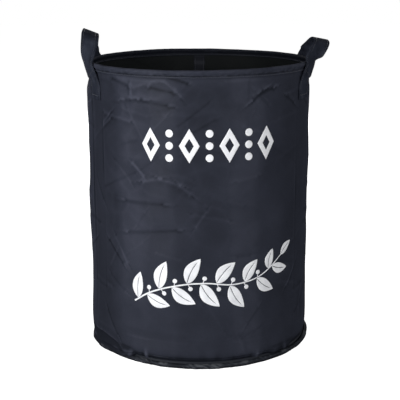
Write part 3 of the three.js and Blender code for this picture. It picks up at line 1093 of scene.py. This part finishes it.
def pipingSwell(azimuth, roll):
    # Bias gathers that run slantwise over the roll, and flat places between them.
    slant = softWaves(azimuth + 0.03 * roll, 6 * roll, 71, 7, 22, 44)
    slow = softWaves(azimuth, 3 * roll, 73, 40, 130, 20)
    patches = patchy(softWaves(azimuth, 0, 75, 60, 200, 12))
    return 0.2 * slant * patches + 0.4 * slow


def pipingHighlight(around, azimuth, roll):
    # Painted highlight on its top, in specks.
    behind = np.clip(softWaves(azimuth, 0, 77, 30, 140, 14), 0, 1) * (np.abs(around) > 92)
    highlighted = atTurns(around, base["highlighted"]) + 0.5 * behind
    specks = patchy(softWaves(azimuth, 3 * roll, 79, 9, 60, 40))
    return highlighted * specks * softStep(np.sin(roll), 0.2, 0.75)


def buildPiping():
    columns = base["pipingColumns"]
    azimuth = ringTurns(columns)[None, :]
    around = signedDegrees(azimuth)
    roll = np.radians(np.linspace(-180, 128, 30))[:, None]  # round the hoop, from its inner side
    sag = (0.3 + atTurns(around, base["sags"])) * softStep(np.cos(roll), -0.4, 0.6)
    squeezed = atTurns(around, base["squeezed"])
    bump = pipingSwell(azimuth, roll) * np.clip(np.minimum(roll + np.pi, 2.4 - roll) * 1.5, 0, 1)

    def rollAt(reach, lowest):
        height = base["rollHeight"] + reach * np.sin(roll)
        return base["rollRadius"] + sag + reach * np.cos(roll), np.maximum(height, lowest)

    outerRadius, outerHeight = rollAt(base["rollOuter"] + bump, squeezed)
    innerRadius, innerHeight = rollAt(base["rollInner"], squeezed + 0.5)
    edge = np.ones((1, columns))
    flangeInner, flangeTop = base["flangeOuter"] - base["flangeThickness"], base["flangeTop"] * edge
    radius = [flangeInner * edge, outerRadius, innerRadius[::-1], base["flangeOuter"] * edge]
    radius, height = np.concatenate(radius), [flangeTop, outerHeight, innerHeight[::-1], flangeTop]
    height = np.concatenate(height)
    wearAndPaintedLight = np.zeros_like(radius)
    # Painted light on the roll: its gathers' bumps lighter and dips darker, the whole roll darker,
    # painted highlight specks on top and painted shade on its underside.
    under = 0.5 * softStep(-np.sin(roll), 0, 0.6)
    shown = bump * 2.2 - 0.7 + 1.7 * pipingHighlight(around, azimuth, roll) - under
    wearAndPaintedLight[1 : 1 + len(roll)] = np.clip(shown, -1, 1)
    piece = addRing("basePiping", radius[::-1], height[::-1], [weltCloth], wearAndPaintedLight[::-1])
    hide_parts("base_piping")
    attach(piece, "base")


def buildBaseTape():
    # Binding tape folded over the raw edges inside the base seam.
    ripple = softWaves(ringTurns(base["tapeColumns"])[None, :], 0, 81, 8, 30, 30)
    outline = np.array(base["tapeOutline"])
    slack = outline[:, 2:]
    radius = outline[:, :1] - 0.22 * slack * ripple
    height = outline[:, 1:2] + 0.14 * slack * np.abs(ripple)
    # Painted light and shade along its ripples.
    wearAndPaintedLight = np.clip(slack * ripple * -0.8, -1, 1)
    piece = addRing("baseTape", radius[::-1], height[::-1], [tapeCloth], wearAndPaintedLight[::-1])
    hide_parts("base_seam_tape")
    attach(piece, "base")


# The tape up the back seam

sideTape = {
    "radius": 197.0,
    "most": 197.2,  # it lies level across the lapped seam
    "halfWidth": 11.0,
    "bottom": 11.6,
    "top": 504.4,
    "columns": 12,
    "headRows": 26,  # above the cut at the wall's fold
    "bodyRows": 214,
    "gap": 0.12,  # to the canvas
    "edge": 0.15,  # its thickness there, and how much more in its middle
    "middle": 0.75,
    "ripple": 0.18,
    "stitchTurn": 8.4,
    "stitchIn": 1.72,
    "stitchPitch": 3.6,
}


def buildSideTape(name, low, high, rows):
    # Binding tape over the raw edges inside the back seam.
    columns = sideTape["columns"]
    heights = besideCut(np.linspace(low, high, rows - 1), high == wall["foldTop"])
    across = np.linspace(-sideTape["halfWidth"], sideTape["halfWidth"], columns)
    full = (1 - (np.abs(across) / sideTape["halfWidth"]) ** 6)[None, :]
    ripple = softWaves(0, heights, 91, 10, 34, 30)[:, None]
    up = heights[:, None]
    turn = np.pi + across[None, :] / sideTape["radius"] + 0 * up
    outer = np.minimum(wallRadiusAt(turn, up) - wall["thickness"] - sideTape["gap"], sideTape["most"])
    inner = outer - sideTape["edge"] - (sideTape["middle"] + sideTape["ripple"] * ripple) * full
    points = np.hstack([aroundHamper(inner, turn, up), aroundHamper(outer, turn, up)[:, ::-1]])
    flatAcross = np.concatenate([across, across[::-1], across[:1]])
    # Painted light and shade along its ripples.
    wearAndPaintedLight = np.hstack([np.clip(-0.6 * ripple, -1, 1) + 0 * full, np.zeros((rows, columns))])
    caps = capQuads(columns - 1, 2 * columns - 1)
    piece = addStrip(name, points, tapeCloth, flatAcross, heights, caps, wearAndPaintedLight, reverse=True)
    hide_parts("side_seam_tape")
    threads = []
    for side in (-1, 1):
        turn = np.pi + side * sideTape["stitchTurn"] / sideTape["radius"] + 0 * heights
        path = aroundHamper(wallRadiusAt(turn, heights) - sideTape["stitchIn"], turn, heights)
        threads.append(walkPath(path[2:-2], -aroundHamper(1, turn, 0)[2:-2], sideTape["stitchPitch"]))
    return piece, addStitches(name + "Stitches", threads)


def buildSideTapes():
    bottom, cut, top = sideTape["bottom"], wall["foldTop"], sideTape["top"]
    for piece in buildSideTape("sideTapeHead", cut + wall["foldGap"], top, sideTape["headRows"]):
        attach(piece, "rim")
    tape, stitches = buildSideTape("sideTape", bottom, cut, sideTape["bodyRows"])
    foldWithWall(tape)
    foldWithWall(stitches)


def buildBaseStitches():
    row = levelRow(base["stitchRadius"], base["stitchHeight"], base["stitchPitch"], inside=True)
    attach(addStitches("baseStitches", [row]), "base")


buildBasePanel()
buildPiping()
buildBaseTape()
buildSideTapes()
buildBaseStitches()
print("base sewn")


# Handles. Out is away from the hamper's axis, along is +Y, and up is +Z.

handle = {
    "hingeOut": 196.0,
    "hingeUp": 523.0,
    "bendFrom": 0.5135,  # metres
    "bendTo": 0.5345,
    "rows": 230,
    "columns": 15,
    "footThickness": 2.0,
    "gripThickness": 3.6,
    "footGap": 0.2,  # to the canvas
    "footRadius": 199.0,
    "lipFrom": 503,  # where the strap leaves the canvas for the rim's lip
    "lipRadius": 199.75,
    "legRadius": 198.2,  # the right loop's legs draw in towards this
    "stitchRows": 460,
    "stitchAcross": 0.74,  # of the half width
    "stitchPitch": 3.3,
    # Middle of the strap: along, out, up, width, turn and tilt of its width in degrees
    "strap": [
        (-80.4, 182.6, 456, 46, 23.8, 0),
        (-80.4, 182.6, 470, 46, 23.8, 0),
        (-79.8, 183.2, 483, 45.5, 23.8, 0),
        (-73.5, 189.0, 499, 41.5, 25.5, 0),
        (-67.0, 193.8, 513, 36, 27.5, 0),
        (-65.0, 194.8, 524, 31, 42, 0),
        (-62.5, 195.4, 535, 28.2, 66, 2),
        (-59.0, 196.2, 546, 27, 88, 5),
        (-50.0, 197.2, 556, 27, 90, 11),
        (-34.0, 198.6, 562.3, 27, 90, 16),
        (0.0, 200.5, 564.5, 27, 90, 17),
        (33.0, 202.4, 562.3, 27, 90, 16),
        (48.0, 203.4, 555.5, 27, 90, 11),
        (56.0, 204.0, 545, 27, 91, 5),
        (59.5, 203.6, 534.5, 28.2, 102, 2),
        (63.0, 200.4, 524, 31, 126, 0),
        (66.5, 195.6, 513, 36, 149, 0),
        (73.5, 189.4, 499, 41.5, 153.5, 0),
        (79.8, 183.2, 483, 45.5, 156.2, 0),
        (80.4, 182.6, 470, 46, 156.2, 0),
        (80.4, 182.6, 456, 46, 156.2, 0),
    ],
}

# How each loop lies: lower, further in, wider, tilted, leaning outwards, and its two legs spread
leftStrap = {
    "side": -1, "lower": -1.5, "inward": 4.0, "wider": 1.5, "extraTilt": 4.0, "flop": 0.0, "spread": 1.0,
}
rightStrap = {
    "side": 1, "lower": 5.0, "inward": 0.0, "wider": 0.0, "extraTilt": 7.0, "flop": 35.0, "spread": 0.3,
}


def strapFrame(lie, rows):
    # Middle line, width direction, outer normal, width and thickness of the strap, row by row.
    table = np.array(handle["strap"], float)
    rise = softStep(table[:, 2], 523, 562)
    table[:, 2] -= lie["lower"] * rise
    table[:, 5] += lie["extraTilt"] * rise
    spread, leg = np.where(table[:, 2] > 530, lie["spread"], 1), handle["legRadius"]
    table[:, 1] = leg + (table[:, 1] - leg) * spread - lie["inward"] * rise
    table[:, 3] += lie["wider"] * rise
    line = smoothOutline(table, 16)
    step = np.linalg.norm(np.diff(line[:, :3], axis=0), axis=1)
    run = np.concatenate([[0], np.cumsum(step)])
    at = np.linspace(0, run[-1], rows)
    line = np.stack([np.interp(at, run, line[:, k]) for k in range(6)], -1)
    middle = line[:, [1, 0, 2]]  # out, along, up
    ahead = np.gradient(middle, axis=0)
    ahead /= np.linalg.norm(ahead, axis=1, keepdims=True)
    turn, tilt = np.radians(line[:, 4]), np.radians(line[:, 5])
    across = np.stack([np.sin(turn) * np.cos(tilt), np.cos(turn) * np.cos(tilt), np.sin(tilt)], -1)
    across -= (across * ahead).sum(1, keepdims=True) * ahead
    across /= np.linalg.norm(across, axis=1, keepdims=True)
    folded = softStep(middle[:, 2], 505, 545)
    thickness = handle["footThickness"] + (handle["gripThickness"] - handle["footThickness"]) * folded
    return middle, across, np.cross(across, ahead), line[:, 3], thickness, at


def strapPoints(lie, across, depth, rows):
    # Points of the strap. Across is from -1 to 1 and depth from the middle, 1 at the outer face.
    middle, sideways, normal, width, thickness, _ = strapFrame(lie, rows)
    across, depth = np.asarray(across, float)[None, :], np.asarray(depth, float)[None, :]
    aside, out = across * width[:, None] / 2, thickness[:, None] / 2
    free = middle[:, None] + sideways[:, None] * aside[..., None]
    free = free + normal[:, None] * (depth * out)[..., None]
    # The sewn part follows the canvas below it, and the rim's lip higher up
    spin = np.where(middle[:, 1] < 0, 1.0, -1.0)[:, None]
    angle = np.arctan2(middle[:, 1], middle[:, 0])[:, None] + spin * aside / handle["footRadius"]
    up = middle[:, 2][:, None] + 0 * angle
    azimuth = lie["side"] * (np.pi / 2 + angle)
    seat = wallRadiusAt(azimuth % (2 * np.pi), np.minimum(up, handle["lipFrom"]))
    seat = np.maximum(seat, handle["lipRadius"] * softStep(up, 499, 504.5))
    radius = seat + handle["footGap"] + (depth + 1) * out
    sewn = np.stack([radius * np.cos(angle), radius * np.sin(angle), up], -1)
    hold = (1 - softStep(middle[:, 2], 482, 503))[:, None, None]
    return placed(free + (sewn - free) * hold, lie)


def placed(points, lie):
    # On its own side of the hamper, with the loop leaning about the line where the strap bends.
    share = softStep(points[..., 2], handle["bendFrom"] / mm, handle["bendTo"] / mm + 4)
    angle = np.radians(lie["flop"]) * share
    out, up = points[..., 0] - handle["hingeOut"], points[..., 2] - handle["hingeUp"]
    turned = points.copy()
    if lie["flop"]:
        turned[..., 0] = handle["hingeOut"] + out * np.cos(angle) + up * np.sin(angle)
        turned[..., 2] = handle["hingeUp"] - out * np.sin(angle) + up * np.cos(angle)
    return turned * [lie["side"], 1, 1]


def strapGroove(across):
    return near(np.abs(across), handle["stitchAcross"], 0, 0.07)  # where the stitches pull in


def strapSection():
    # Across and depth of the strap's cut edge, once round. One edge shows its two layers.
    across = np.linspace(-0.93, 0.93, handle["columns"])
    face = 1 - 0.22 * strapGroove(across)
    rounded = [(0.985, 0.72), (1.0, 0.0), (0.985, -0.72)]
    layered = [(-0.98, -0.8), (-1.0, -0.45), (-0.95, 0.0), (-1.0, 0.45), (-0.98, 0.8)]
    section = [*zip(across, face), *rounded, *zip(across[::-1], -face[::-1]), *layered]
    return np.array(section)


def strapStitches(lie):
    # A row along each edge, on both faces of the loose part, and two across each foot.
    edge, pitch, rows = handle["stitchAcross"], handle["stitchPitch"], handle["stitchRows"]
    lines = []
    for side in (-edge, edge):
        above = strapPoints(lie, [side], [0.82], rows)[:, 0]
        below = strapPoints(lie, [side], [-0.82], rows)[:, 0]
        lines.append(walkPath(above[10:-10], (above - below)[10:-10], pitch))
        lines.append(walkPath(below[110:-110], (below - above)[110:-110], pitch))
    across = np.linspace(-edge, edge, 20)
    above = strapPoints(lie, across, 0 * across + 1.0, rows)
    below = strapPoints(lie, across, 0 * across - 1.0, rows)
    for row in (10, 66, -67, -11):
        lines.append(walkPath(above[row], (above - below)[row], pitch))
    return lines


def buildHandle(name, lie, nodes):
    section = strapSection()
    points = strapPoints(lie, section[:, 0], section[:, 1], handle["rows"])
    at = strapFrame(lie, handle["rows"])[-1]
    columns = points.shape[1]
    girth = np.concatenate([[0], np.cumsum(np.hypot(*np.diff(section, axis=0).T) * 20)])
    girth = np.append(girth, girth[-1] + 2)
    wide = handle["columns"]  # the ends are closed between the faces and at both edges
    caps = capQuads(wide, 2 * wide + 2)
    caps += [(wide, wide + 1, wide + 2), (*range(2 * wide + 2, columns), 0)]
    ripple = softWaves(section[:, 0][None, :] * 0.08, at[:, None], 101 + lie["side"], 14, 46, 30)
    # Lighter along its edges, painted shade in its stitch grooves, and a random ripple of tone.
    wearAndPaintedLight = 0.55 * softStep(np.abs(section[:, 0]), 0.93, 1.0) - 0.5 * strapGroove(section[:, 0])
    wearAndPaintedLight = np.clip(wearAndPaintedLight[None, :] + 0.25 * ripple, -1, 1)
    piece = addStrip(name, points, strapCloth, girth, at, caps, wearAndPaintedLight, reverse=lie["side"] < 0)
    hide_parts(*nodes)
    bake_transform(piece)
    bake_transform(addStitches(name + "Stitches", strapStitches(lie)))


for handleName, handleLie in (("left", leftStrap), ("right", rightStrap)):
    body = handleName + "_handle"
    nodes = [body + part for part in ("_loop", "_front_foot", "_rear_foot")]
    buildHandle(handleName + "Handle", handleLie, nodes)
print("handles sewn")


# Print on the front: arc along the wall from its middle, and height.

printed = {
    "inkRise": 0.22,
    "inkDepth": 0.15,
    "bandFrom": -103,
    "bandTo": 136,
    "bandHeight": 393,
    "bandCount": 7,
    "diamondHalf": (17.5, 29),
    "stroke": 8.5,
    "dotRadius": 6.6,
    "dotStep": 20.5,
    "stem": [(-124, 112), (-88, 134), (-40, 150), (12, 154), (62, 150), (112, 160), (158, 190)],
    "stemWidth": 3.0,
    "leaves": [
        # share of the stem, side, length, width, degrees off the stem
        (0.03, 1, 48, 23, 50), (0.10, -1, 46, 22, 50), (0.19, 1, 52, 25, 53), (0.27, -1, 50, 24, 50),
        (0.36, 1, 50, 24, 55), (0.44, -1, 51, 25, 52), (0.53, 1, 48, 24, 53), (0.61, -1, 49, 24, 54),
        (0.70, 1, 44, 22, 50), (0.78, -1, 45, 22, 52), (0.87, 1, 36, 18, 44), (0.90, -1, 38, 19, 48),
        (0.985, 1, 34, 16, 4),
    ],
    "berries": [
        # share of the stem and side
        (0.125, 1), (0.205, -1), (0.29, 1), (0.37, -1), (0.455, 1), (0.54, -1), (0.62, 1), (0.70, -1),
        (0.79, 1),
    ],
    "berryRadius": 4.0,
    "berryLean": 68,  # degrees off the stem
    "stalk": 9.5,
}


def ringShape(outer, inner):
    # Quads between two outlines with as many points.
    count = len(outer)
    return [(outer[k], outer[(k + 1) % count], inner[(k + 1) % count], inner[k]) for k in range(count)]


def disc(x, y, radius):
    angle = ringTurns(24)
    return [tuple(p) for p in np.stack([x + radius * np.cos(angle), y + radius * np.sin(angle)], -1)]


def band(line, width):
    # Quads along a line, as wide as given at each point.
    line = np.asarray(line, float)
    slope = np.gradient(line, axis=0)
    side = np.stack([-slope[:, 1], slope[:, 0]], -1) / np.linalg.norm(slope, axis=1, keepdims=True)
    half = np.asarray(width, float).reshape(-1, 1) / 2 + 0 * side
    left, right = line + side * half, line - side * half
    return [(right[k], right[k + 1], left[k + 1], left[k]) for k in range(len(line) - 1)]


def leafShape(foot, angle, length, width, side):
    # Two halves beside a bare midrib that stops short of the tip.
    share = np.linspace(0, 1, 15)
    bulge = np.sin(np.pi * share**0.82) ** 0.85
    curve = side * 0.07 * length * np.sin(np.pi * share)
    rib = 0.55 * (1 - softStep(share, 0.72, 0.86)) * np.minimum(1, 12 * share)
    forward = np.array([math.cos(angle), math.sin(angle)])
    sideways = np.array([-forward[1], forward[0]])
    middle = foot + np.outer(share * length, forward)
    shapes = []
    for half in (1, -1):
        outer = middle + np.outer(curve + half * width / 2 * bulge, sideways)
        inner = middle + np.outer(curve + half * rib, sideways)
        for k in range(len(share) - 1):
            shapes.append([inner[k], inner[k + 1], outer[k + 1], outer[k]][::half])
    return shapes


def bandShapes():
    # Outlined diamonds with three dots between them.
    shapes = []
    y = printed["bandHeight"]
    wide, tall = printed["diamondHalf"]
    slant = printed["stroke"] * math.hypot(wide, tall)
    inWide, inTall = wide - slant / tall, tall - slant / wide
    first, last = printed["bandFrom"] + wide, printed["bandTo"] - wide
    for k, x in enumerate(np.linspace(first, last, printed["bandCount"])):
        if k % 2:
            for row in (-1, 0, 1):
                shapes.append([disc(x, y + row * printed["dotStep"], printed["dotRadius"])])
        else:
            outer = [(x + wide, y), (x, y + tall), (x - wide, y), (x, y - tall)]
            inner = [(x + inWide, y), (x, y + inTall), (x - inWide, y), (x, y - inTall)]
            shapes.append(ringShape(outer, inner))
    return shapes


def sprigShapes():
    stem = smoothOutline(printed["stem"], 12)
    run = np.concatenate([[0], np.cumsum(np.linalg.norm(np.diff(stem, axis=0), axis=1))])

    def onStem(share, side, off):
        # A place on the stem, and the way a leaf or a stalk leaves it there.
        at = share * run[-1] + np.array([-1, 0, 1])
        back, foot, ahead = np.stack([np.interp(at, run, stem[:, k]) for k in (0, 1)], -1)
        return foot, math.atan2(*(ahead - back)[::-1]) + side * math.radians(off)

    shapes = [band(stem, printed["stemWidth"] * (1 - 0.4 * run / run[-1]))]
    for share, side, length, width, off in printed["leaves"]:
        foot, heading = onStem(share, side, off)
        foot = foot + 2.2 * np.array([math.cos(heading), math.sin(heading)])
        shapes.append(leafShape(foot, heading, length, width, side))
    for share, side in printed["berries"]:
        foot, heading = onStem(share, side, printed["berryLean"])
        tip = foot + printed["stalk"] * np.array([math.cos(heading), math.sin(heading)])
        shapes.append(band([foot, (foot + tip) / 2, tip], [1.3, 1.2, 1.1]))
        shapes.append([disc(*tip, printed["berryRadius"])])
    return shapes


def flatPrint(shapes):
    # The flat shapes, with corners that touch within a shape made one.
    flat = bmesh.new()
    for shape in shapes:
        known = {}
        for polygon in shape:
            corners = []
            for p in polygon:
                key = (round(p[0], 4), round(p[1], 4))
                if key not in known:
                    known[key] = flat.verts.new((*key, 0))
                if known[key] not in corners:
                    corners.append(known[key])
            if len(corners) > 2:
                flat.faces.new(corners)
    bmesh.ops.recalc_face_normals(flat, faces=flat.faces)
    for face in flat.faces:
        if face.normal.z < 0:
            face.normal_flip()
    return flat


def cutLikeWall(flat):
    # Cuts along the canvas's own columns and rows, so that the print can lie on it.
    spots = np.array([v.co[:2] for v in flat.verts])
    step = 2 * np.pi * wall["radius"] / wallColumns
    first, last = math.ceil(spots[:, 0].min() / step), math.floor(spots[:, 0].max() / step)
    cuts = [((k * step, 0, 0), (1, 0, 0)) for k in range(first, last + 1)]
    levels = [level for level in rowHeights if spots[:, 1].min() < level < spots[:, 1].max()]
    cuts += [((0, level, 0), (0, 1, 0)) for level in levels]
    for place, normal in cuts:
        geometry = flat.verts[:] + flat.edges[:] + flat.faces[:]
        bmesh.ops.bisect_plane(flat, geom=geometry, plane_co=place, plane_no=normal)
    flat.verts.index_update()


def buildPrint(name, shapes):
    # The print is laid on the canvas and thickened.
    flat = flatPrint(shapes)
    cutLikeWall(flat)
    spots = np.array([v.co[:2] for v in flat.verts])
    faces = [[v.index for v in face.verts] for face in flat.faces]
    rims = [
        (loop.vert.index, loop.link_loop_next.vert.index)
        for face in flat.faces
        for loop in face.loops
        if len(loop.edge.link_faces) == 1
    ]
    flat.free()
    azimuth = spots[:, 0] / wall["radius"]
    seat = wallRadiusAt(azimuth, spots[:, 1])
    upper = aroundHamper(seat + printed["inkRise"], azimuth, spots[:, 1])
    lower = aroundHamper(seat - printed["inkDepth"], azimuth, spots[:, 1])
    half = len(spots)
    allFaces = faces + [[v + half for v in face][::-1] for face in faces]
    allFaces += [[a, a + half, b + half, b] for a, b in rims]
    flatMap = [tuple(spots[v % half]) for face in allFaces for v in face]
    foldWithWall(addPiece(name, np.concatenate([upper, lower]), allFaces, [whiteInk], flatMap))


buildPrint("printedBand", bandShapes())
buildPrint("printedSprig", sprigShapes())
print("front printed")


# Hoops keep their solids

def dressHoops():
    for node, material in (
        ("rim_hoop", springWire),
        ("base_hoop", springWire),
        ("rim_hoop_sleeve", platedSleeve),
        ("base_hoop_sleeve", platedSleeve),
    ):
        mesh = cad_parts[node].data
        if mesh.materials:
            mesh.materials[0] = material
        else:
            mesh.materials.append(material)


dressHoops()
print("hamper finished")
